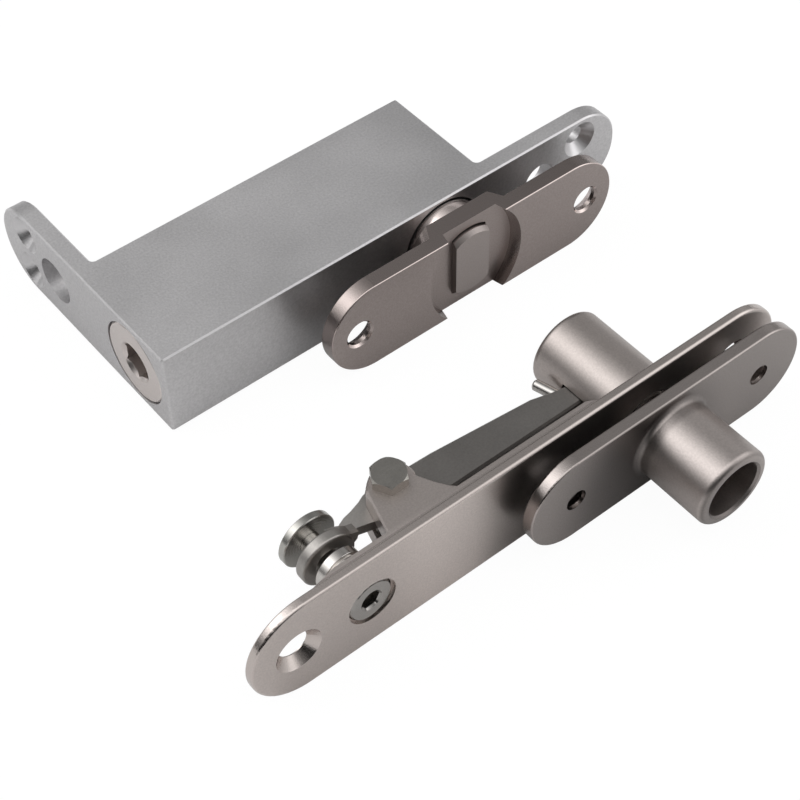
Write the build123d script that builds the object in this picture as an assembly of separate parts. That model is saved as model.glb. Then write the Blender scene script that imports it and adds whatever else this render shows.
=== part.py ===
import math
import os

from build123d import *

os.makedirs("parts", exist_ok=True)

# ---------------------------------------------------------------- dimensions (mm)
# Shared frame: X runs along the plates, Y towards the back (up when the door
# hangs), Z up as the two units lie. Z = 0 is the table.

# bottom block
BLOCK_T = 22.0            # thickness of the block (Z)
BLOCK_L = 86.0            # length of the box part (X)
BLOCK_D = 32.5            # depth of the box part (Y)
FLANGE_T = 4.3            # thickness of both flanges
FLANGE_L = 124.3          # bottom flange, tip measured from the end face
FLANGE_D = 64.1           # side flange, tip measured from the front face
FLANGE_R = 10.6           # corner radius of the flange tips
FLANGE_FILLET = 1.2       # inside corner radius, flange to box
CSK_D = 9.0               # countersink of the flange screw holes
CSK_HOLE_D = 4.6
CSK_HALF = 5.4            # half spacing of the two screw holes
SIDE_CSK_Y = 54.0
SIDE_BIG_Y = 42.8
BOTTOM_CSK_X = 113.3
BOTTOM_BIG_X = 101.4
BIG_HOLE_D = 11.0         # plain hole of the side flange
BOTTOM_BIG_D = 8.6        # plain hole of the bottom flange

# spindle and its bearing
SPINDLE_X = 73.0          # spindle axis from the end face
COLLAR_D = 19.0
JOURNAL_D = 14.0
TENON_W = 9.3             # across the two flats
TENON_R = 8.9             # radius of the tenon's rounded ends
TENON_EDGE = 0.9          # bevel round the tenon's end
TENON_CLEAR = 0.4         # play of the rounded ends in the floor plate's slot
TENON_Y = -10.2           # end of the tenon
COLLAR_Y = -4.5           # shoulder that carries the floor plate
RECESS_D = 20.4           # bearing recess in the block's front face
RECESS_Y = 3.2
WASHER_T = 0.8
WASHER_D = 19.4
ROLLER_D = 1.76
ROLLER_L = 1.6
ROLLER_N = 16
BUSH_D = 18.0
BUSH_BORE = 14.1
REAR_BORE = 20.0
SPINDLE_END_Y = 29.4

# friction brake on the spindle
BRAKE_Y = 12.1            # axis of the brake bore from the front face
PLUG_D = 19.0
PLUG_L = 10.0
PLUG_HEX = 8.0            # across flats of the socket
PLUG_PITCH = 1.5
BRAKE_BORE = 14.2
NOSE_D = 8.0
SPRING_WIRE = 1.6
SPRING_D = 11.0           # mean diameter
SPRING_X0 = 12.0
SPRING_X1 = 47.0
SPRING_TURNS = 9.0

# floor plate
FLOOR_W = 23.3
FLOOR_L = 78.8
FLOOR_T = 3.8
FLOOR_Y = -11.5           # lower face
FLOOR_HOLE_SPACING = 64.0
FLOOR_HOLE_D = 6.1
FLOOR_CSK_D = 10.8
FLOOR_HOLE_EDGE = 0.5     # chamfer of the holes on the lower face
DISH_X = 12.8             # pressed recess, half length along the plate
DISH_Z = 14.9             # its half width, open at both long edges
DISH_DEPTH = 2.8
PAD_R = 15.6              # raised pad on the other face
PAD_GAP = 0.04            # pad to collar shoulder

# top pivot, frame side
FRAME_W = 25.5
FRAME_LEFT = -97.6        # left tip from the pin axis
FRAME_RIGHT = 36.1        # right tip from the pin axis
FRAME_HOLES = (-87.0, 23.75)
FRAME_T = 2.2
FRAME_T_MID = 3.5         # thicker stretch between screw and barrel
FRAME_CSK_D = 10.4
FRAME_HOLE_D = 6.4
SCREW_X = -70.05          # lifting screw from the pin axis, at the plate's face
SCREW_TILT = 2.5          # lean of the lifting screw, along the path of the lever's eye
SCREW_D = 10.2
SCREW_HEX = 4.0
SCREW_RING_D = 11.0       # clear ring round the screw's end at the plate's face
SCREW_END_Y = 11.0        # end of the threaded body
NECK_D = 4.6
DISC_D = 12.6
DISC_Y0 = 18.3
DISC_GAP = 0.05           # neck shoulder to disc
DISC_Y1 = 20.1
BOLT_X = -53.1            # lever bolt from the pin axis
BOLT_Y = 16.1
BOLT_D = 4.0
BOLT_HEX = 7.0
BOLT_HEAD = 2.4
NUT_H = 3.2
EAR_GAP = 4.4
EAR_OUT = 6.85            # outer face of an ear from the middle plane
LEVER_T = 4.2
TONGUE_T = 2.5            # thinner stretch of the lever next to the eye
EYE_X = -70.64
EYE_R = 6.2
EYE_Y0 = 12.3
EYE_Y1 = 14.9
EYE_HOLE_D = 6.4
BARREL_D = 18.0
BARREL_Y = 25.0
BARREL_END_R = 1.5
BORE_D = 13.1
BORE_Y = 20.9
SLOT_H = 4.7
SLOT_Y = 15.6
PIN_D = 13.0
PIN_L = 20.4
TIP_R = 2.8               # rounded end of the lever inside the pin
TIP_Y = 12.5
PEG_D = 2.5
PEG_L = 5.7

# top pivot, door side
DOOR_W = 22.8
DOOR_L = 73.1
DOOR_T = 3.0
DOOR_Y = -6.6             # front face
DOOR_HOLE_SPACING = 50.3
DOOR_HOLE_D = 4.9
DOOR_CSK_D = 9.2
TUBE_D = 18.0
TUBE_Y = -24.4

# where the two units lie in the shared frame
BOTTOM_AT = (-48.82, 13.3075, (FLOOR_W - BLOCK_T) / 2.0)
TOP_AT = (22.12, -53.0075, 0.0)

ZB = BLOCK_T / 2.0        # middle plane of the block
ZT = FRAME_W / 2.0        # middle plane of the frame plate


# ---------------------------------------------------------------- helpers
def box(x0, x1, y0, y1, z0, z1):
    return Pos((x0 + x1) / 2, (y0 + y1) / 2, (z0 + z1) / 2) * Box(x1 - x0, y1 - y0, z1 - z0)


def ycyl(x, z, r, y0, y1):
    return Pos(x, (y0 + y1) / 2, z) * Rot(-90, 0, 0) * Cylinder(r, y1 - y0)


def xcyl(y, z, r, x0, x1):
    return Pos((x0 + x1) / 2, y, z) * Rot(0, 90, 0) * Cylinder(r, x1 - x0)


def zcyl(x, y, r, z0, z1):
    return Pos(x, y, (z0 + z1) / 2) * Cylinder(r, z1 - z0)


def ycone(x, z, r0, r1, y0, y1):
    return Pos(x, (y0 + y1) / 2, z) * Rot(-90, 0, 0) * Cone(r0, r1, y1 - y0)


def xcone(y, z, r0, r1, x0, x1):
    return Pos((x0 + x1) / 2, y, z) * Rot(0, 90, 0) * Cone(r0, r1, x1 - x0)


def yhex(x, z, across, y0, y1):
    r = across / math.sqrt(3.0)
    return Pos(x, y0, z) * Rot(-90, 0, 0) * extrude(RegularPolygon(r, 6), y1 - y0)


def xhex(y, z, across, x0, x1):
    r = across / math.sqrt(3.0)
    return Pos(x0, y, z) * Rot(0, 90, 0) * extrude(RegularPolygon(r, 6), x1 - x0)


def zhex(x, y, across, z0, z1):
    r = across / math.sqrt(3.0)
    return Pos(x, y, z0) * extrude(RegularPolygon(r, 6), z1 - z0)


def slab(points, z0, z1):
    """Outline in the XY plane, drawn out from z0 to z1."""
    face = make_face(Polyline(*[(p[0], p[1], 0) for p in points], close=True))
    return Pos(0, 0, z0) * extrude(face, z1 - z0, dir=(0, 0, 1))


def long_plate(length, width, x_mid, z_mid, y0, y1, edge0=0.0, edge1=0.0):
    """Plate with full-round ends; edge0/edge1 round the rims of its two faces."""
    h = (length - width) / 2.0
    body = box(x_mid - h, x_mid + h, y0, y1, z_mid - width / 2, z_mid + width / 2)
    body += ycyl(x_mid - h, z_mid, width / 2, y0, y1)
    body += ycyl(x_mid + h, z_mid, width / 2, y0, y1)
    body = body.clean()
    for at, r in ((y0, edge0), (y1, edge1)):
        if r > 0:
            rim = [e for e in body.edges() if abs(e.center().Y - at) < 1e-4
                   and abs(e.bounding_box().size.Y) < 1e-4]
            body = fillet(rim, r)
    return body


def lean(shape):
    """Tip a piece about the lifting screw's foot by the screw's lean."""
    return Pos(SCREW_X, 0, 0) * Rot(0, 0, SCREW_TILT) * Pos(-SCREW_X, 0, 0) * shape


def put(shape, at, name):
    out = Pos(*at) * shape
    export_step(out, "parts/" + name + ".step")
    return out


# ---------------------------------------------------------------- bottom block
def flange_tip_x(x_tip, r, y0, y1):
    """Bottom flange with rounded tip corners."""
    b = box(BLOCK_L - 6, x_tip, y0, y1, 0, BLOCK_T)
    tips = [e for e in b.edges().filter_by(Axis.Y) if e.center().X > x_tip - 0.01]
    return fillet(tips, r)


def flange_tip_y(y_tip, r, x0, x1):
    """Side flange with rounded tip corners."""
    b = box(x0, x1, BLOCK_D - 6, y_tip, 0, BLOCK_T)
    tips = [e for e in b.edges().filter_by(Axis.X) if e.center().Y > y_tip - 0.01]
    return fillet(tips, r)


block = box(0, BLOCK_L, 0, BLOCK_D, 0, BLOCK_T)
block += flange_tip_x(FLANGE_L, FLANGE_R, 0, FLANGE_T)
block += flange_tip_y(FLANGE_D, FLANGE_R, 0, FLANGE_T)
block = block.clean()
inner = [e for e in block.edges().filter_by(Axis.Z)
         if (abs(e.center().X - BLOCK_L) < 0.01 and abs(e.center().Y - FLANGE_T) < 0.01)
         or (abs(e.center().X - FLANGE_T) < 0.01 and abs(e.center().Y - BLOCK_D) < 0.01)]
block = fillet(inner, FLANGE_FILLET)
upright = [e for e in block.edges().filter_by(Axis.Z)
           if (abs(e.center().X) < 0.01 and abs(e.center().Y) < 0.01)
           or (abs(e.center().X - BLOCK_L) < 0.01 and abs(e.center().Y - BLOCK_D) < 0.01)]
block = fillet(upright, 0.6)
rims = [e for e in block.edges()
        if e.bounding_box().size.Z < 1e-4 and (abs(e.center().Z) < 1e-4 or abs(e.center().Z - BLOCK_T) < 1e-4)]
block = chamfer(rims, 0.35)

# screw holes and large plain holes of the two flanges
sink = (CSK_D - CSK_HOLE_D) / 2.0
for s in (-1, 1):
    z = ZB + s * CSK_HALF
    block -= xcyl(SIDE_CSK_Y, z, CSK_HOLE_D / 2, -1, FLANGE_T + 1)
    block -= xcone(SIDE_CSK_Y, z, CSK_D / 2, CSK_HOLE_D / 2, 0, sink)
    block -= ycyl(BOTTOM_CSK_X, z, CSK_HOLE_D / 2, -1, FLANGE_T + 1)
    block -= ycone(BOTTOM_CSK_X, z, CSK_D / 2, CSK_HOLE_D / 2, 0, sink)
block -= xcyl(SIDE_BIG_Y, ZB, BIG_HOLE_D / 2, -1, FLANGE_T + 1)
block -= ycyl(BOTTOM_BIG_X, ZB, BOTTOM_BIG_D / 2, -1, FLANGE_T + 1)

# spindle bore: bearing recess, two bush seats, relief between, rear counterbore
block -= ycyl(SPINDLE_X, ZB, RECESS_D / 2, -1, RECESS_Y)
block -= ycyl(SPINDLE_X, ZB, BUSH_D / 2, RECESS_Y - 0.5, 7.6)
block -= ycyl(SPINDLE_X, ZB, 7.6, 7.0, 17.0)
block -= ycyl(SPINDLE_X, ZB, BUSH_D / 2, 16.6, 27.0)
block -= ycyl(SPINDLE_X, ZB, REAR_BORE / 2, 26.6, BLOCK_D + 1)

# brake bore from the end face
block -= xcyl(BRAKE_Y, ZB, PLUG_D / 2 + 0.35, -1, 0.9)
block -= xcyl(BRAKE_Y, ZB, PLUG_D / 2 + 0.05, 0, 14.0)
block -= xcyl(BRAKE_Y, ZB, BRAKE_BORE / 2, 13.0, 58.0)
block -= xcyl(BRAKE_Y, ZB, NOSE_D / 2 + 0.1, 57.0, SPINDLE_X - 5.0)
put(block, BOTTOM_AT, "bottom_body")

# friction brake
plug = xcyl(BRAKE_Y, ZB, PLUG_D / 2, 0.1, PLUG_L)
plug = chamfer([e for e in plug.edges() if abs(e.center().X - 0.1) < 1e-3], 0.25)
plug -= xhex(BRAKE_Y, ZB, PLUG_HEX, -0.5, 6.5)
plug -= xcone(BRAKE_Y, ZB, 4.95, 4.2, 0.1, 0.85)
put(plug, BOTTOM_AT, "brake_plug")

seat = xcyl(BRAKE_Y, ZB, 6.8, PLUG_L + 0.05, SPRING_X0 - 0.05)
seat += xcyl(BRAKE_Y, ZB, 4.4, SPRING_X0 - 0.1, SPRING_X0 + 2.0)
put(seat, BOTTOM_AT, "brake_seat")

pitch = (SPRING_X1 - SPRING_X0 - SPRING_WIRE) / SPRING_TURNS
helix = Helix(pitch=pitch, height=SPRING_X1 - SPRING_X0 - SPRING_WIRE, radius=SPRING_D / 2)
wire_at = Plane(origin=helix @ 0, z_dir=helix % 0)
coil = sweep(wire_at * Circle(SPRING_WIRE / 2), path=helix, is_frenet=True)
coil = Pos(SPRING_X0 + SPRING_WIRE / 2, BRAKE_Y, ZB) * Rot(0, 90, 0) * coil
coil = coil & box(SPRING_X0, SPRING_X1, BRAKE_Y - 9, BRAKE_Y + 9, ZB - 9, ZB + 9)
put(coil, BOTTOM_AT, "brake_spring")

plunger = xcyl(BRAKE_Y, ZB, BRAKE_BORE / 2 - 0.05, SPRING_X1 + 0.05, 57.2)
plunger += xcyl(BRAKE_Y, ZB, 4.4, SPRING_X1 - 2.0, SPRING_X1 + 0.2)
plunger += xcyl(BRAKE_Y, ZB, NOSE_D / 2, 57.0, 62.0)
put(plunger, BOTTOM_AT, "brake_plunger")

pad = xcyl(BRAKE_Y, ZB, NOSE_D / 2, 62.0, SPINDLE_X - 5.2)
pad -= ycyl(SPINDLE_X, ZB, JOURNAL_D / 2 + 0.06, 0, BLOCK_D)
put(pad, BOTTOM_AT, "brake_pad")

# ---------------------------------------------------------------- spindle group
spindle = ycyl(SPINDLE_X, ZB, COLLAR_D / 2, COLLAR_Y, -0.2)
spindle = chamfer([e for e in spindle.edges() if abs(e.center().Y + 0.2) < 1e-3], 0.3)
spindle += ycyl(SPINDLE_X, ZB, JOURNAL_D / 2, -0.4, SPINDLE_END_Y)
tenon = ycyl(SPINDLE_X, ZB, TENON_R, TENON_Y, COLLAR_Y + 0.2)
tenon = chamfer([e for e in tenon.edges() if abs(e.center().Y - TENON_Y) < 1e-3], TENON_EDGE)
tenon &= box(SPINDLE_X - TENON_W / 2, SPINDLE_X + TENON_W / 2, TENON_Y - 1, 0, -2, BLOCK_T + 2)
spindle += tenon
spindle -= ycyl(SPINDLE_X, ZB, JOURNAL_D / 2 + 1, 27.9, 29.0) - ycyl(SPINDLE_X, ZB, 6.5, 27.8, 29.1)
put(spindle, BOTTOM_AT, "spindle")


def ring(r_out, r_in, y0, y1):
    return ycyl(SPINDLE_X, ZB, r_out, y0, y1) - ycyl(SPINDLE_X, ZB, r_in, y0 - 1, y1 + 1)


put(ring(WASHER_D / 2, 7.4, RECESS_Y - WASHER_T, RECESS_Y), BOTTOM_AT, "thrust_washer_body")
put(ring(WASHER_D / 2, JOURNAL_D / 2, -0.2, -0.2 + WASHER_T), BOTTOM_AT, "thrust_washer_spindle")

roller_y = (RECESS_Y - WASHER_T + 0.6) / 2.0
cage = ring(9.3, 7.35, roller_y - 0.55, roller_y + 0.55)
rollers = None
for i in range(ROLLER_N):
    a = 360.0 / ROLLER_N * i
    turn = Pos(SPINDLE_X, roller_y, ZB) * Rot(0, a, 0)
    cage -= turn * Pos(8.3, 0, 0) * Box(ROLLER_L + 0.05, 3, ROLLER_D + 0.05)
    one = turn * Pos(8.3, 0, 0) * Rot(0, 90, 0) * Cylinder(ROLLER_D / 2, ROLLER_L)
    rollers = one if rollers is None else rollers + one
put(cage, BOTTOM_AT, "thrust_cage")
put(rollers, BOTTOM_AT, "thrust_rollers")

put(ring(BUSH_D / 2, BUSH_BORE / 2, RECESS_Y, 7.6), BOTTOM_AT, "bush_front")
put(ring(BUSH_D / 2, BUSH_BORE / 2, 16.6, 26.6), BOTTOM_AT, "bush_rear")
put(ring(9.2, 7.0, 26.65, 27.85), BOTTOM_AT, "spindle_washer")
clip = ring(8.6, 6.5, 27.9, 29.0)
clip -= box(SPINDLE_X - 2.0, SPINDLE_X + 2.0, 27, 30, ZB, ZB + 12)
put(clip, BOTTOM_AT, "spindle_circlip")
put(ycyl(SPINDLE_X, ZB, REAR_BORE / 2, 30.3, BLOCK_D - 0.2), BOTTOM_AT, "rear_cap")

# ---------------------------------------------------------------- floor plate
fy0, fy1 = FLOOR_Y, FLOOR_Y + FLOOR_T
floor = long_plate(FLOOR_L, FLOOR_W, SPINDLE_X, ZB, fy0, fy1, 0.3, 0.3)
raised = ycone(SPINDLE_X, ZB, PAD_R, PAD_R - 1.2, fy1 - 0.3, COLLAR_Y - PAD_GAP)
raised &= box(0, 200, fy0, 0, ZB - FLOOR_W / 2, ZB + FLOOR_W / 2)
floor += raised
dish = loft([Pos(SPINDLE_X, y, ZB) * Rot(-90, 0, 0) * Ellipse(DISH_X - k, DISH_Z - k / 4)
             for y, k in ((fy0 - 0.5, -0.13), (fy0 + DISH_DEPTH, 0.8))])
floor -= dish
slot = ycyl(SPINDLE_X, ZB, TENON_R + TENON_CLEAR, fy0 - 1, 0)
slot &= box(SPINDLE_X - TENON_W / 2 - 0.05, SPINDLE_X + TENON_W / 2 + 0.05, fy0 - 1, 0, -5, BLOCK_T + 5)
floor -= slot
fs = (FLOOR_CSK_D - FLOOR_HOLE_D) / 2.0
for s in (-1, 1):
    x = SPINDLE_X + s * FLOOR_HOLE_SPACING / 2
    floor -= ycyl(x, ZB, FLOOR_HOLE_D / 2, fy0 - 1, fy1 + 1)
    floor -= ycone(x, ZB, FLOOR_HOLE_D / 2, FLOOR_CSK_D / 2, fy1 - fs, fy1)
    floor -= ycone(x, ZB, FLOOR_HOLE_D / 2 + FLOOR_HOLE_EDGE, FLOOR_HOLE_D / 2, fy0, fy0 + FLOOR_HOLE_EDGE)
put(floor, BOTTOM_AT, "floor_plate")

# ---------------------------------------------------------------- frame plate
mid = (FRAME_LEFT + FRAME_RIGHT) / 2.0
frame = long_plate(FRAME_RIGHT - FRAME_LEFT, FRAME_W, mid, ZT, 0, FRAME_T, 0.7, 0.4)
frame += slab([(-82.5, 1.2), (-82.0, FRAME_T), (-75.5, FRAME_T_MID), (-14.5, FRAME_T_MID),
               (-12.0, FRAME_T), (-11.5, 1.2)], 0.5, FRAME_W - 0.5)
# ears that carry the lever bolt
ear_pts = [(-62.6, 1.5), (-58.25, 16.82), (-57.7, 17.5), (-56.85, 18.3), (-55.8, 19.1), (-54.6, 19.75),
           (-53.4, 20.1), (-52.2, 20.15), (-51.0, 19.9), (-49.8, 19.3), (-48.8, 18.35), (-48.15, 17.2),
           (-47.9, 15.8), (-48.0, 14.7), (-48.35, 13.98)]
ear_pts += [(-46.6, 10.6), (-44.9, 8.0), (-42.6, 5.6), (-39.6, 4.0), (-36.5, 3.4), (-36.0, 1.5)]
ears = slab(ear_pts, ZT - EAR_OUT, ZT + EAR_OUT)
ears = chamfer([e for e in ears.edges() if e.bounding_box().size.Z < 1e-4 and e.center().Y > 2.2], 0.4)
ears -= box(-70, -30, FRAME_T_MID, 30, ZT - EAR_GAP / 2, ZT + EAR_GAP / 2)
frame += ears
# barrel with rounded closed end
barrel = ycyl(0, ZT, BARREL_D / 2, 1.0, BARREL_Y)
barrel = fillet([e for e in barrel.edges() if abs(e.center().Y - BARREL_Y) < 1e-3], BARREL_END_R)
frame += barrel
frame -= ycyl(0, ZT, BORE_D / 2, -1, BORE_Y)
frame -= box(-BARREL_D / 2 - 4, -3.0, FRAME_T, SLOT_Y, ZT - SLOT_H / 2, ZT + SLOT_H / 2)
# lifting-screw hole with a clear ring at the mouth
frame -= lean(ycyl(SCREW_X, ZT, SCREW_D / 2 + 0.05, -2, 9))
frame -= ycyl(SCREW_X, ZT, SCREW_RING_D / 2, -1, 1.0)
# bolt hole through both ears
frame -= zcyl(BOLT_X, BOLT_Y, BOLT_D / 2 + 0.02, -1, FRAME_W + 1)
# two countersunk screw holes near the round ends
ks = (FRAME_CSK_D - FRAME_HOLE_D) / 2.0
for x in FRAME_HOLES:
    frame -= ycyl(x, ZT, FRAME_HOLE_D / 2, -1, FRAME_T + 2)
    frame -= ycone(x, ZT, FRAME_CSK_D / 2, FRAME_HOLE_D / 2, 0, ks)
put(frame, TOP_AT, "frame_plate")

# ---------------------------------------------------------------- lever
lever_pts = [(-66.6, 15.6), (-65.0, 16.6), (-63.4, 17.3), (-61.4, 17.7), (-58.8, 18.5), (-57.3, 19.2)]
for k in range(0, 9):
    a = math.radians(138.0 - k * 88.0 / 8.0)
    lever_pts.append((BOLT_X + 4.8 * math.cos(a), BOLT_Y + 4.8 * math.sin(a)))
lever_pts += [(-46.0, 19.4), (-40.3, 19.2), (-16.2, 17.0), (-8.6, 14.9), (-6.0, 14.6), (-3.0, TIP_Y + 2.2)]
for k in range(0, 13):
    a = math.radians(100.0 - k * 200.0 / 12.0)
    lever_pts.append((TIP_R * math.cos(a), TIP_Y + TIP_R * math.sin(a)))
lever_pts += [(-3.0, TIP_Y - 2.2), (-6.0, 10.1), (-10.0, 10.1), (-45.0, 10.0), (-50.0, 10.6),
              (-56.0, 11.9), (-59.6, 13.0), (-62.4, 13.8), (-64.6, 13.9), (-66.6, 13.4)]
lever = slab(lever_pts, ZT - LEVER_T / 2, ZT + LEVER_T / 2)
lever = chamfer([e for e in lever.edges() if e.bounding_box().size.Z < 1e-4 and e.center().X > -45
                 and e.length > 5.0], 0.4)
lever -= box(-68.0, -58.6, 10.0, 22.0, ZT - 4.0, ZT + LEVER_T / 2 - TONGUE_T)
# the eye round the screw's neck, running into the arm
eye = ycyl(EYE_X, ZT, EYE_R, EYE_Y0, EYE_Y1)
eye = fillet([e for e in eye.edges() if e.bounding_box().size.Y < 1e-4], 0.5)
web = Pos(0, EYE_Y0 + 0.7, 0) * extrude(
    Plane(origin=(0, 0, 0), x_dir=(1, 0, 0), z_dir=(0, 1, 0)) * make_face(Polyline(
        (-69.4, -(ZT + 5.6), 0), (-66.6, -(ZT + 4.3), 0), (-64.6, -(ZT + 2.7), 0), (-63.0, -(ZT + 2.1), 0),
        (-63.4, -(ZT + 0.2), 0), (-65.0, -(ZT - 1.2), 0), (-66.8, -(ZT - 4.0), 0), (-69.4, -(ZT - 5.6), 0),
        close=True)),
    EYE_Y1 - EYE_Y0 - 0.2)
lever += eye
lever += web
lever -= ycyl(EYE_X, ZT, EYE_HOLE_D / 2, EYE_Y0 - 2, EYE_Y1 + 2)
lever -= zcyl(BOLT_X, BOLT_Y, BOLT_D / 2 + 0.05, -1, FRAME_W + 1)
PEG_DIR = (math.sin(math.radians(-15.5)), math.cos(math.radians(-15.5)), 0)
PEG_FOOT = (-10.45, 15.0, ZT + 0.45)
peg_plane = Plane(origin=PEG_FOOT, z_dir=PEG_DIR)
peg = peg_plane * Pos(0, 0, PEG_L / 2) * Cylinder(PEG_D / 2, PEG_L)
peg = chamfer([e for e in peg.edges() if e.geom_type == GeomType.CIRCLE and e.center().Y > 19], 0.35)
lever -= peg_plane * Pos(0, 0, 5.0) * Cylinder(PEG_D / 2, 10.0)
put(lever, TOP_AT, "lever")
put(peg, TOP_AT, "lever_peg")

# lever bolt and nut
zh = ZT + EAR_OUT
bolt = zhex(BOLT_X, BOLT_Y, BOLT_HEX, zh, zh + BOLT_HEAD)
bolt &= Pos(BOLT_X, BOLT_Y, zh + BOLT_HEAD / 2) * chamfer(
    Cylinder(BOLT_HEX / math.sqrt(3.0) + 0.01, BOLT_HEAD).edges().filter_by(GeomType.CIRCLE)
    .sort_by(Axis.Z)[-1:], 0.5)
bolt += zcyl(BOLT_X, BOLT_Y, BOLT_D / 2, 1.9, zh + 0.5)
put(bolt, TOP_AT, "lever_bolt")
zn = ZT - EAR_OUT
nut = zhex(BOLT_X, BOLT_Y, BOLT_HEX, zn - NUT_H, zn)
nut -= zcyl(BOLT_X, BOLT_Y, BOLT_D / 2, 0, FRAME_W)
put(nut, TOP_AT, "lever_nut")

# ---------------------------------------------------------------- lifting screw and disc
screw = ycyl(SCREW_X, ZT, SCREW_D / 2, 0.3, SCREW_END_Y)
screw = chamfer([e for e in screw.edges() if e.bounding_box().size.Y < 1e-4 and e.center().Y < 1], 0.45)
screw = chamfer([e for e in screw.edges() if e.bounding_box().size.Y < 1e-4 and e.center().Y > 9], 0.6)
screw -= yhex(SCREW_X, ZT, SCREW_HEX, -0.5, 5.5)
screw -= ycone(SCREW_X, ZT, 2.5, 2.1, 0.3, 0.7)
screw += ycyl(SCREW_X, ZT, NECK_D / 2, SCREW_END_Y - 0.5, DISC_Y0 - DISC_GAP)
screw += ycyl(SCREW_X, ZT, 1.8, DISC_Y0 - 0.5, DISC_Y1 + 0.3)
put(lean(screw), TOP_AT, "lift_screw")
disc = ycyl(SCREW_X, ZT, DISC_D / 2, DISC_Y0, DISC_Y1)
disc = chamfer([e for e in disc.edges() if e.bounding_box().size.Y < 1e-4], 0.2)
disc -= ycyl(SCREW_X, ZT, 1.85, 0, 30)
put(lean(disc), TOP_AT, "lift_disc")

# ---------------------------------------------------------------- pivot pin
pin = ycyl(0, ZT, PIN_D / 2, 0.0, PIN_L)
pin = chamfer([e for e in pin.edges() if abs(e.center().Y) < 1e-3], 1.0)
pin = chamfer([e for e in pin.edges() if abs(e.center().Y - PIN_L) < 1e-3], 0.4)
pin -= box(-3.2, 3.6, TIP_Y - TIP_R - 0.15, TIP_Y + TIP_R + 0.15, ZT - SLOT_H / 2, ZT + SLOT_H / 2)
pin -= box(-8.0, -3.1, TIP_Y - 4.3, TIP_Y + 4.3, ZT - SLOT_H / 2, ZT + SLOT_H / 2)
put(pin, TOP_AT, "pivot_pin")

# ---------------------------------------------------------------- door plate with its socket tube
dy0, dy1 = DOOR_Y, DOOR_Y + DOOR_T
door = long_plate(DOOR_L, DOOR_W, 0, ZT, dy0, dy1, 0.5, 0.5)
tube = ycyl(0, ZT, TUBE_D / 2, TUBE_Y, dy0 + 0.5)
tube = fillet([e for e in tube.edges() if abs(e.center().Y - TUBE_Y) < 1e-3], 1.4)
door += tube
foot = [e for e in door.edges() if e.geom_type == GeomType.CIRCLE
        and abs(e.radius - TUBE_D / 2) < 1e-3 and abs(e.center().Y - dy0) < 0.01]
if foot:
    door = fillet(foot, 1.3)
door -= ycyl(0, ZT, BORE_D / 2, TUBE_Y - 1, dy1 + 1)
door -= ycone(0, ZT, BORE_D / 2 + 0.5, BORE_D / 2, TUBE_Y, TUBE_Y + 0.5)
door -= ycone(0, ZT, BORE_D / 2, BORE_D / 2 + 0.8, dy1 - 0.8, dy1)
ds = (DOOR_CSK_D - DOOR_HOLE_D) / 2.0
for s in (-1, 1):
    x = s * DOOR_HOLE_SPACING / 2
    door -= ycyl(x, ZT, DOOR_HOLE_D / 2, dy0 - 1, dy1 + 1)
    door -= ycone(x, ZT, DOOR_HOLE_D / 2, DOOR_CSK_D / 2, dy1 - ds, dy1)
put(door, TOP_AT, "door_plate")
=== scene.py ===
import math

import bmesh
import bpy
from mathutils import Matrix, Vector


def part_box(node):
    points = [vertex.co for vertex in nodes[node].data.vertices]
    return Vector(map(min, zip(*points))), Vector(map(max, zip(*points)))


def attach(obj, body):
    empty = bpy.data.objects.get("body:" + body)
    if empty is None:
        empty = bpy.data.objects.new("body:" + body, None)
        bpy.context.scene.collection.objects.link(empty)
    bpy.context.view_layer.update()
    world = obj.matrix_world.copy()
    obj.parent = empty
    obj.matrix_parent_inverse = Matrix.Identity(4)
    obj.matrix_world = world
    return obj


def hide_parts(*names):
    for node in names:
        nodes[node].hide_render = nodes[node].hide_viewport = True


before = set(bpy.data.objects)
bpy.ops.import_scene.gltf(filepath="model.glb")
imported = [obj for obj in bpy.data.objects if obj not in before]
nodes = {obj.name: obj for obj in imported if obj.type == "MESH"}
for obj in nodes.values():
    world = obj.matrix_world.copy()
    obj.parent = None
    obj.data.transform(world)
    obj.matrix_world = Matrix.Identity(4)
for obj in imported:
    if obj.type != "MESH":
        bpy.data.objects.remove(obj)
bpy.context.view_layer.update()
scene = bpy.context.scene


# ------------------------------------------------------------------ materials
def links(tree, *pairs):
    for a, b in pairs:
        tree.links.new(a, b)


def math_node(tree, operation, a, b=None):
    n = tree.nodes.new("ShaderNodeMath")
    n.operation = operation
    for i, v in enumerate((a, b)):
        if isinstance(v, (int, float)):
            n.inputs[i].default_value = v
        elif v is not None:
            tree.links.new(v, n.inputs[i])
    return n.outputs[0]


def band(tree, value, lo, hi, soft):
    """1 where lo < value < hi, with soft ends."""
    ends = []
    for at, up in ((lo, True), (hi, False)):
        r = tree.nodes.new("ShaderNodeMapRange")
        r.interpolation_type = "SMOOTHSTEP"
        r.inputs["From Min"].default_value = at - soft
        r.inputs["From Max"].default_value = at + soft
        r.inputs["To Min"].default_value = 0.0 if up else 1.0
        r.inputs["To Max"].default_value = 1.0 if up else 0.0
        tree.links.new(value, r.inputs["Value"])
        ends.append(r.outputs["Result"])
    return math_node(tree, "MULTIPLY", *ends)


def axes_of(tree, co):
    """Absolute parts of the surface's direction, and the place, in the set's frame."""
    n = tree.nodes.new("ShaderNodeSeparateXYZ")
    at = tree.nodes.new("ShaderNodeSeparateXYZ")
    links(tree, (co.outputs["Normal"], n.inputs[0]), (co.outputs["Object"], at.inputs[0]))
    return [math_node(tree, "ABSOLUTE", o) for o in n.outputs], list(at.outputs)


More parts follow.
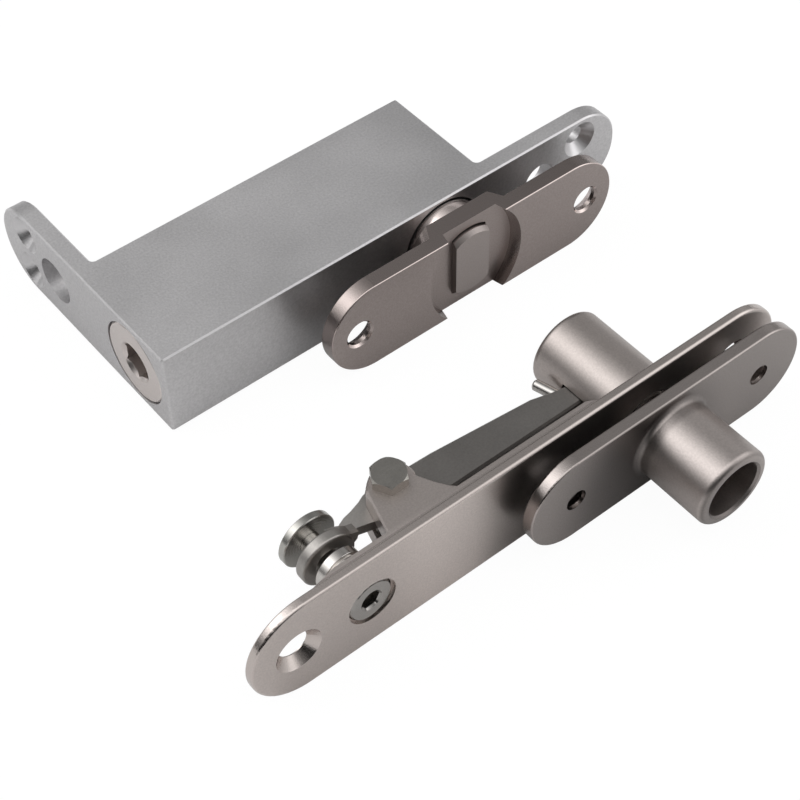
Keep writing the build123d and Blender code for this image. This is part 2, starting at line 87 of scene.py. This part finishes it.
def plate_rims(y_lo, y_hi):
    """Rims, rounded edges and hole walls of a plate that faces along the Y axis, between two heights."""
    def mask(tree, co):
        n, at = axes_of(tree, co)
        return math_node(tree, "MULTIPLY", band(tree, n[1], -1.0, 0.8, 0.15), band(tree, at[1], y_lo, y_hi, 0.0002))
    return mask


def stretch(axis, lo, hi, soft, face=None):
    """A stretch along one axis with soft ends, on all faces or on those that look along the axis face."""
    def mask(tree, co):
        n, at = axes_of(tree, co)
        m = band(tree, at[axis], lo, hi, soft)
        return m if face is None else math_node(tree, "MULTIPLY", m, band(tree, n[face], 0.85, 9.0, 0.1))
    return mask


def painted_edge_highlight(tree, co):
    """Painted highlight: the rounded edges between a plate's faces and its rims made lighter."""
    n, _ = axes_of(tree, co)
    return math_node(tree, "MULTIPLY", band(tree, n[1], 0.35, 0.93, 0.05), band(tree, n[2], 0.35, 0.93, 0.05))


def round_spot(x, z, r0, r1):
    """Soft round spot on the faces that look along Y, full inside r0 and gone outside r1."""
    def mask(tree, co):
        n, at = axes_of(tree, co)
        dx = math_node(tree, "SUBTRACT", at[0], x)
        dz = math_node(tree, "SUBTRACT", at[2], z)
        r = math_node(tree, "SQRT", math_node(tree, "ADD", math_node(tree, "MULTIPLY", dx, dx),
                                              math_node(tree, "MULTIPLY", dz, dz)))
        return math_node(tree, "MULTIPLY", band(tree, r, -1.0, (r0 + r1) / 2, (r1 - r0) / 2),
                         band(tree, n[1], 0.5, 9.0, 0.3))
    return mask


def thread_painted_highlight(tree, co):
    """The lifting screw behind the plate, thread and neck, painted lighter than its head: a painted highlight."""
    _, at = axes_of(tree, co)
    return band(tree, at[1], -0.0508, 1.0, 0.0002)


def block_edges(tree, co):
    """Top chamfers of the block and the cones of its screw holes."""
    n, at = axes_of(tree, co)
    top = math_node(tree, "MULTIPLY", band(tree, n[2], 0.55, 0.88, 0.06), band(tree, at[2], 0.02226, 1.0, 0.00003))
    side = math_node(tree, "MULTIPLY", band(tree, n[0], 0.6, 0.82, 0.06), band(tree, at[0], -1.0, -0.0464, 0.0001))
    side = math_node(tree, "MULTIPLY", side, band(tree, at[1], 0.0618, 1.0, 0.0001))
    low = math_node(tree, "MULTIPLY", band(tree, n[1], 0.6, 0.82, 0.06), band(tree, at[1], -1.0, 0.0157, 0.0001))
    low = math_node(tree, "MULTIPLY", low, band(tree, at[0], 0.0575, 1.0, 0.0001))
    return math_node(tree, "MAXIMUM", top, math_node(tree, "MAXIMUM", side, low))


def metal(name, base, rough, tint=0.03, cloud=35.0, speck=0.03, speck_scale=2200.0,
          grain=0.1, grain_scale=2600.0, rough_var=0.05, rings=None, wear_and_sheen=None, polish=0.6, shine=1.0,
          toned=()):
    """Metal with a cloudy tone, a fine speckle and a fine grain, all from noise; the edge mask function gives the
    mask of edges and machined places, which are smoother (polish) and lighter (shine) than the rest, the lighter colour
    being a painted highlight on the screw's thread and the spindle's collar; toned lists further masks, each with the
    factor of its tone, many of them painted shade and painted highlights."""
    m = bpy.data.materials.new(name)
    m.use_nodes = True
    t = m.node_tree
    t.nodes.clear()
    out = t.nodes.new("ShaderNodeOutputMaterial")
    sh = t.nodes.new("ShaderNodeBsdfPrincipled")
    sh.inputs["Metallic"].default_value = 1.0
    co = t.nodes.new("ShaderNodeTexCoord")

    broad = t.nodes.new("ShaderNodeTexNoise")
    broad.inputs["Scale"].default_value = cloud
    broad.inputs["Detail"].default_value = 3.0
    fine = t.nodes.new("ShaderNodeTexNoise")
    fine.inputs["Scale"].default_value = speck_scale
    fine.inputs["Detail"].default_value = 2.0
    links(t, (co.outputs["Object"], broad.inputs["Vector"]), (co.outputs["Object"], fine.inputs["Vector"]))

    tone = t.nodes.new("ShaderNodeValToRGB")
    tone.color_ramp.elements[0].position = 0.3
    tone.color_ramp.elements[1].position = 0.7
    tone.color_ramp.elements[0].color = [c * (1 - tint) for c in base] + [1]
    tone.color_ramp.elements[1].color = [min(1, c * (1 + tint)) for c in base] + [1]
    links(t, (broad.outputs["Fac"], tone.inputs["Fac"]))
    dots = t.nodes.new("ShaderNodeMapRange")
    dots.inputs["From Min"].default_value = 0.3
    dots.inputs["From Max"].default_value = 0.7
    dots.inputs["To Min"].default_value = 1 - speck
    dots.inputs["To Max"].default_value = 1 + speck
    links(t, (fine.outputs["Fac"], dots.inputs["Value"]))
    mul = t.nodes.new("ShaderNodeMix")
    mul.data_type = "RGBA"
    mul.blend_type = "MULTIPLY"
    mul.inputs["Factor"].default_value = 1.0
    links(t, (tone.outputs["Color"], mul.inputs["A"]), (dots.outputs["Result"], mul.inputs["B"]))
    colour = mul.outputs["Result"]
    where = wear_and_sheen(t, co) if wear_and_sheen else None
    if where:
        lit = t.nodes.new("ShaderNodeMix")
        lit.data_type = "RGBA"
        lit.inputs["B"].default_value = [min(1, c * shine) for c in base] + [1]
        links(t, (where, lit.inputs["Factor"]), (colour, lit.inputs["A"]))
        colour = lit.outputs["Result"]
    for mask, factor in toned:
        part = t.nodes.new("ShaderNodeMix")
        part.data_type = "RGBA"
        part.blend_type = "MULTIPLY"
        part.inputs["B"].default_value = (factor, factor, factor, 1)
        links(t, (mask(t, co), part.inputs["Factor"]), (colour, part.inputs["A"]))
        colour = part.outputs["Result"]
    links(t, (colour, sh.inputs["Base Color"]))

    rr = t.nodes.new("ShaderNodeMapRange")
    rr.inputs["From Min"].default_value = 0.3
    rr.inputs["From Max"].default_value = 0.7
    rr.inputs["To Min"].default_value = max(0.02, rough - rough_var)
    rr.inputs["To Max"].default_value = rough + rough_var
    links(t, (broad.outputs["Fac"], rr.inputs["Value"]))
    if where:
        smooth = t.nodes.new("ShaderNodeMapRange")
        smooth.inputs["To Min"].default_value = 1.0
        smooth.inputs["To Max"].default_value = polish
        both = math_node(t, "MULTIPLY", rr.outputs["Result"], smooth.outputs["Result"])
        links(t, (where, smooth.inputs["Value"]), (both, sh.inputs["Roughness"]))
    else:
        links(t, (rr.outputs["Result"], sh.inputs["Roughness"]))

    skin = t.nodes.new("ShaderNodeTexNoise")
    skin.inputs["Scale"].default_value = grain_scale
    skin.inputs["Detail"].default_value = 3.0
    links(t, (co.outputs["Object"], skin.inputs["Vector"]))
    bump = t.nodes.new("ShaderNodeBump")
    bump.inputs["Strength"].default_value = grain
    bump.inputs["Distance"].default_value = 0.00006
    links(t, (skin.outputs["Fac"], bump.inputs["Height"]))
    last = bump
    if rings:
        axis, centre, scale, strength = rings
        place = t.nodes.new("ShaderNodeMapping")
        place.vector_type = "POINT"
        place.inputs["Location"].default_value = [-c for c in centre]
        wave = t.nodes.new("ShaderNodeTexWave")
        wave.wave_type = "RINGS"
        wave.rings_direction = axis
        wave.inputs["Scale"].default_value = scale
        wave.inputs["Distortion"].default_value = 0.6
        wave.inputs["Detail"].default_value = 2.0
        wave.inputs["Detail Scale"].default_value = 1.0
        turned = t.nodes.new("ShaderNodeBump")
        turned.inputs["Strength"].default_value = strength
        turned.inputs["Distance"].default_value = 0.00003
        links(t, (co.outputs["Object"], place.inputs["Vector"]), (place.outputs["Vector"], wave.inputs["Vector"]),
              (wave.outputs["Fac"], turned.inputs["Height"]), (bump.outputs["Normal"], turned.inputs["Normal"]))
        last = turned
    links(t, (last.outputs["Normal"], sh.inputs["Normal"]), (sh.outputs["BSDF"], out.inputs["Surface"]))
    return m


def middle(node):
    lo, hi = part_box(node)
    return (lo + hi) / 2


# block: painted shade (0.7) on its faces along Y from x -16.5 to 60.5 mm, behind the floor plate
ALU = metal("blasted_aluminium", (0.58, 0.57, 0.575), 0.46, tint=0.025, cloud=40, speck=0.085, speck_scale=1900,
            grain=0.5, grain_scale=2300, rough_var=0.04, wear_and_sheen=block_edges, polish=0.7, shine=1.1,
            toned=[(stretch(0, -0.0165, 0.0605, 0.008, 1), 0.7)])
# frame plate: painted shade (0.62) on its faces along Y beside and under the door plate, a painted highlight (1.25) on
# them further left, and everything beyond y = -50.3 mm, the barrel and ears, darker (0.83)
SATIN_FRAME = metal("satin_stainless_frame", (0.515, 0.463, 0.438), 0.36, tint=0.03, cloud=30, speck=0.08, speck_scale=2600,
                    grain=0.3, grain_scale=3000, rough_var=0.04, wear_and_sheen=plate_rims(-0.054, -0.0503), polish=0.55, shine=1.1,
                    toned=[(stretch(0, -0.0185, 0.0515, 0.0055, 1), 0.62), (stretch(0, -0.040, -0.0215, 0.008, 1), 1.25),
                           (stretch(1, -0.0503, 1.0, 0.0005), 0.83)])
# floor plate: its rounded edges between faces and rims painted twice as light, a painted highlight
SATIN_FLOOR = metal("satin_stainless_floor", (0.33, 0.285, 0.27), 0.36, tint=0.03, cloud=30, speck=0.08, speck_scale=2600,
                    grain=0.3, grain_scale=3000, rough_var=0.04, wear_and_sheen=plate_rims(-1.0, 1.0), polish=0.55, shine=1.1,
                    toned=[(painted_edge_highlight, 2.0)])
# door plate: a soft round spot of painted shade (0.45) on its faces along Y near the tube; the tube lighter than the
# plate (1.45) and its end face lighter again (1.35)
SATIN_DOOR = metal("satin_stainless_door", (0.3, 0.27, 0.257), 0.36, tint=0.03, cloud=30, speck=0.08, speck_scale=2600,
                   grain=0.3, grain_scale=3000, rough_var=0.04, wear_and_sheen=plate_rims(-0.0598, 1.0), polish=0.65, shine=1.35,
                   toned=[(round_spot(0.0141, 0.0108, 0.008, 0.026), 0.45), (stretch(1, -1.0, -0.0628, 0.0008), 1.45),
                          (stretch(1, -1.0, -0.0767, 0.0003, 1), 1.35)])
# spindle: the collar smoother and painted much lighter (2.8), a painted highlight; the tenon's flats darker (0.5), a
# painted shade
SPINDLE = metal("satin_stainless_spindle", (0.335, 0.297, 0.283), 0.34, tint=0.03, cloud=30, speck=0.05,
                speck_scale=2600, grain=0.2, grain_scale=3000, rough_var=0.04, wear_and_sheen=plate_rims(0.0066, 1.0), polish=0.7,
                shine=2.8, toned=[(stretch(1, -1.0, 0.0066, 0.0002, 0), 0.5)])
LEVER = metal("dark_steel", (0.2, 0.19, 0.18), 0.4, tint=0.05, cloud=60, speck=0.06, speck_scale=2400,
              grain=0.2, grain_scale=2600, toned=[(stretch(0, -1.0, -0.0345, 0.003), 1.9)])
PLUG = metal("nickel_steel", (0.655, 0.6, 0.575), 0.3, tint=0.02, cloud=60, speck=0.03, grain=0.08,
             rings=("X", middle("brake_plug"), 420.0, 0.25))
BRIGHT = metal("bright_steel", (0.5, 0.48, 0.46), 0.22, tint=0.04, cloud=90, speck=0.03, grain=0.06)
DISC = metal("turned_steel", (0.44, 0.43, 0.405), 0.2, tint=0.03, cloud=90, speck=0.03, grain=0.05,
             rings=("Y", middle("lift_disc"), 420.0, 0.3))
# lifting screw: behind the plate its thread and neck are painted lighter (shine 1.8), a painted highlight
SCREW = metal("screw_steel", (0.34, 0.325, 0.31), 0.22, tint=0.03, cloud=90, speck=0.03, grain=0.06,
              rings=("Y", middle("lift_screw"), 420.0, 0.2), wear_and_sheen=thread_painted_highlight, polish=1.0, shine=1.8)
BOLT = metal("bolt_steel", (0.36, 0.345, 0.32), 0.25, tint=0.06, cloud=160, speck=0.05, grain=0.12)
PLAIN = metal("plain_steel", (0.45, 0.45, 0.45), 0.28)
SPRING = metal("spring_steel", (0.2, 0.2, 0.21), 0.38, tint=0.08, cloud=120)
BRONZE = metal("bronze", (0.62, 0.43, 0.2), 0.38, tint=0.08, cloud=80)

LOOK = {
    "bottom_body": ALU, "rear_cap": ALU,
    "brake_plug": PLUG, "brake_seat": PLAIN, "brake_spring": SPRING, "brake_plunger": PLAIN, "brake_pad": BRONZE,
    "spindle": SPINDLE, "thrust_washer_body": PLAIN, "thrust_washer_spindle": PLAIN, "thrust_cage": PLAIN,
    "thrust_rollers": BRIGHT, "bush_front": BRONZE, "bush_rear": BRONZE, "spindle_washer": PLAIN,
    "spindle_circlip": SPRING, "floor_plate": SATIN_FLOOR, "frame_plate": SATIN_FRAME, "lever": LEVER, "lever_bolt": BOLT,
    "lever_nut": BOLT, "lift_screw": SCREW, "lift_disc": DISC, "pivot_pin": BRIGHT, "lever_peg": BRIGHT,
    "door_plate": SATIN_DOOR,
}
for n, o in nodes.items():
    o.data.materials.clear()
    o.data.materials.append(LOOK[n])


# ------------------------------------------------------------------ lifting screw with its thread
MM = 0.001
SCREW_FOOT = Vector((22.12 - 70.05, -53.0075, 12.75)) * MM
LEAN = math.radians(2.5)
SCREW_AX = Vector((-math.sin(LEAN), math.cos(LEAN), 0))
SCREW_U = Vector((math.cos(LEAN), math.sin(LEAN), 0))
TURNS_AROUND = 96


def thread_profile(phase):
    """0 on the crest, 1 in the root, straight flanks between."""
    p = phase % 1.0
    if p < 0.12:
        return 0.0
    if p < 0.42:
        return (p - 0.12) / 0.30
    if p < 0.70:
        return 1.0
    return 1.0 - (p - 0.70) / 0.30


def threaded_screw():
    """Closed mesh: threaded body with a hexagon socket, plain collar, neck and riveted tip."""
    bm = bmesh.new()

    def ring(radius, s):
        out = []
        for k in range(TURNS_AROUND):
            a = 2 * math.pi * k / TURNS_AROUND
            r = radius(a) if callable(radius) else radius
            out.append(bm.verts.new(SCREW_FOOT + (SCREW_AX * s + SCREW_U * (r * math.cos(a))
                                                  + Vector((0, 0, r * math.sin(a)))) * MM))
        return out

    def hexagon(a):
        return 2.0 / math.cos((a % (math.pi / 3)) - math.pi / 6)

    def body(s):
        room = min(5.08, 4.63 + (s - 0.3), 4.48 + (11.0 - s))
        depth = 0.55 if s < 8.3 else max(0.0, 0.55 * (1 - (s - 8.3) / 0.5))
        plain = 5.08 if s < 8.4 else 5.08 - 0.1 * min(1.0, (s - 8.4) / 0.4)
        return lambda a: min(room, plain - depth * thread_profile(s + a / (2 * math.pi)))

    rings = [ring(hexagon, 5.5), ring(hexagon, 0.72), ring(2.5, 0.3), ring(body(0.3), 0.3)]
    steps = 134
    for i in range(1, steps + 1):
        s = 0.3 + (11.0 - 0.3) * i / steps
        rings.append(ring(body(s), s))
    rings += [ring(2.6, 11.0), ring(2.3, 11.3), ring(2.3, 18.25), ring(1.8, 18.25), ring(1.8, 20.2), ring(1.6, 20.4)]
    for r0, r1 in zip(rings, rings[1:]):
        for k in range(TURNS_AROUND):
            n = (k + 1) % TURNS_AROUND
            bm.faces.new((r0[k], r0[n], r1[n], r1[k]))
    for cap, s in ((rings[0], 6.1), (rings[-1], 20.4)):
        tip = bm.verts.new(SCREW_FOOT + SCREW_AX * s * MM)
        for k in range(TURNS_AROUND):
            bm.faces.new((cap[k], cap[(k + 1) % TURNS_AROUND], tip))
    bmesh.ops.recalc_face_normals(bm, faces=bm.faces)
    mesh = bpy.data.meshes.new("lift_screw_threaded")
    bm.to_mesh(mesh)
    bm.free()
    mesh.shade_smooth()
    mesh.set_sharp_from_angle(angle=math.radians(28))
    o = bpy.data.objects.new("lift_screw_threaded", mesh)
    scene.collection.objects.link(o)
    mesh.materials.append(SCREW)
    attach(o, "screw")
    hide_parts("lift_screw")
    return o


threaded_screw()


# ------------------------------------------------------------------ stage
def sheet(name, z, tone, glow):
    """Wide flat sheet under the object."""
    mesh = bpy.data.meshes.new(name)
    bm = bmesh.new()
    s = 3.0
    bm.faces.new([bm.verts.new(p) for p in ((-s, -s, z), (s, -s, z), (s, s, z), (-s, s, z))])
    bm.to_mesh(mesh)
    bm.free()
    o = bpy.data.objects.new(name, mesh)
    scene.collection.objects.link(o)
    m = bpy.data.materials.new(name)
    m.use_nodes = True
    sh = m.node_tree.nodes["Principled BSDF"]
    sh.inputs["Base Color"].default_value = (tone, tone, tone, 1)
    sh.inputs["Roughness"].default_value = 0.9
    sh.inputs["Specular IOR Level"].default_value = 0.0
    sh.inputs["Emission Color"].default_value = (1, 1, 1, 1)
    sh.inputs["Emission Strength"].default_value = glow
    m.cycles.emission_sampling = "NONE"
    mesh.materials.append(m)
    return o


# the white sheet that is seen, lit from below like a light table
floor = sheet("floor", 0.0, 0.05, 0.96)
floor.visible_diffuse = False
floor.visible_glossy = False
floor.visible_shadow = False
# the white card under it, which gives the pieces their light from below and their contact shade
card = sheet("card", -0.0002, 0.8, 0.0)
card.visible_camera = False


# soft studio light: broad lobes of light round the object, (direction, strength)
LOBES = [
    ((-0.422, 0.600, 0.680), 1.75),
    ((-0.566, 0.234, 0.790), 1.52),
    ((-0.188, 0.172, 0.967), 1.10),
    ((0.029, -0.326, 0.945), 0.99),
    ((0.826, -0.382, 0.415), 0.90),
    ((0.696, -0.153, 0.702), 0.88),
    ((-0.254, -0.489, 0.834), 0.79),
    ((0.148, 0.000, 0.989), 0.60),
    ((-0.709, 0.494, 0.503), 0.68),
    ((-0.428, -0.076, 0.901), 0.67),
    ((0.572, -0.569, 0.591), 0.75),
    ((0.790, -0.600, 0.128), 0.55),
    ((0.843, 0.113, 0.525), 0.52),
    ((-0.038, 0.821, 0.569), 0.42),
    ((0.199, 0.635, 0.746), 0.34),
    ((-0.355, 0.848, 0.393), 0.45),
    ((0.968, -0.080, 0.238), 0.41),
    ((0.403, -0.256, 0.879), 0.34),
    ((0.548, 0.200, 0.812), 0.20),
    ((0.271, -0.580, 0.768), 0.29),
    ((0.515, -0.801, 0.304), 0.70),
    ((-0.134, 0.499, 0.856), 0.14),
    ((0.963, 0.264, 0.061), 0.21),
    ((0.830, 0.436, 0.349), 0.15),
    ((0.954, -0.294, -0.049), 0.20),
    ((0.162, 0.945, 0.282), 0.16),
    ((-0.097, -0.747, 0.658), 0.15),
    ((0.348, -0.937, 0.017), 0.15),
    ((0.442, 0.771, 0.459), 0.06),
    ((0.662, 0.730, 0.172), 0.09),
    ((-0.663, 0.717, 0.216), 0.07),
]
TIGHT = 20.0
world = bpy.data.worlds.new("studio")
scene.world = world
world.use_nodes = True
wt = world.node_tree
bg = wt.nodes["Background"]
where = wt.nodes.new("ShaderNodeTexCoord")
unit = wt.nodes.new("ShaderNodeVectorMath")
unit.operation = "NORMALIZE"
wt.links.new(where.outputs["Generated"], unit.inputs[0])
total = None
for way, strength in LOBES:
    dot = wt.nodes.new("ShaderNodeVectorMath")
    dot.operation = "DOT_PRODUCT"
    dot.inputs[1].default_value = way
    fall = wt.nodes.new("ShaderNodeMath")
    fall.operation = "MULTIPLY_ADD"
    fall.inputs[1].default_value = TIGHT
    fall.inputs[2].default_value = -TIGHT
    lobe = wt.nodes.new("ShaderNodeMath")
    lobe.operation = "EXPONENT"
    add = wt.nodes.new("ShaderNodeMath")
    add.operation = "MULTIPLY_ADD"
    add.inputs[1].default_value = strength
    add.inputs[2].default_value = 0.0
    links(wt, (unit.outputs[0], dot.inputs[0]), (dot.outputs["Value"], fall.inputs[0]),
          (fall.outputs[0], lobe.inputs[0]), (lobe.outputs[0], add.inputs[0]))
    if total is not None:
        wt.links.new(total.outputs[0], add.inputs[2])
    total = add
bg.inputs["Color"].default_value = (1, 1, 1, 1)
wt.links.new(total.outputs[0], bg.inputs["Strength"])

# ------------------------------------------------------------------ camera
cam = bpy.data.cameras.new("camera")
cam_ob = bpy.data.objects.new("camera", cam)
scene.collection.objects.link(cam_ob)
cam.sensor_fit = "HORIZONTAL"
cam.sensor_width = 36.0
cam.lens = 36.0 * 1813.176 / 800.0
right = Vector((0.77784084, -0.6283157, -0.01352807))
down = Vector((-0.48558801, -0.58720368, -0.647608))
ahead = Vector((0.39895854, 0.51030502, -0.76185358))
pose = Matrix.Identity(4)
for i in range(3):
    pose[i][0], pose[i][1], pose[i][2] = right[i], -down[i], -ahead[i]
pose.translation = Vector((-0.159647, -0.2053715, 0.292185))
cam_ob.matrix_world = pose
cam.clip_start, cam.clip_end = 0.01, 20.0
scene.camera = cam_ob
scene.view_settings.view_transform = "Standard"
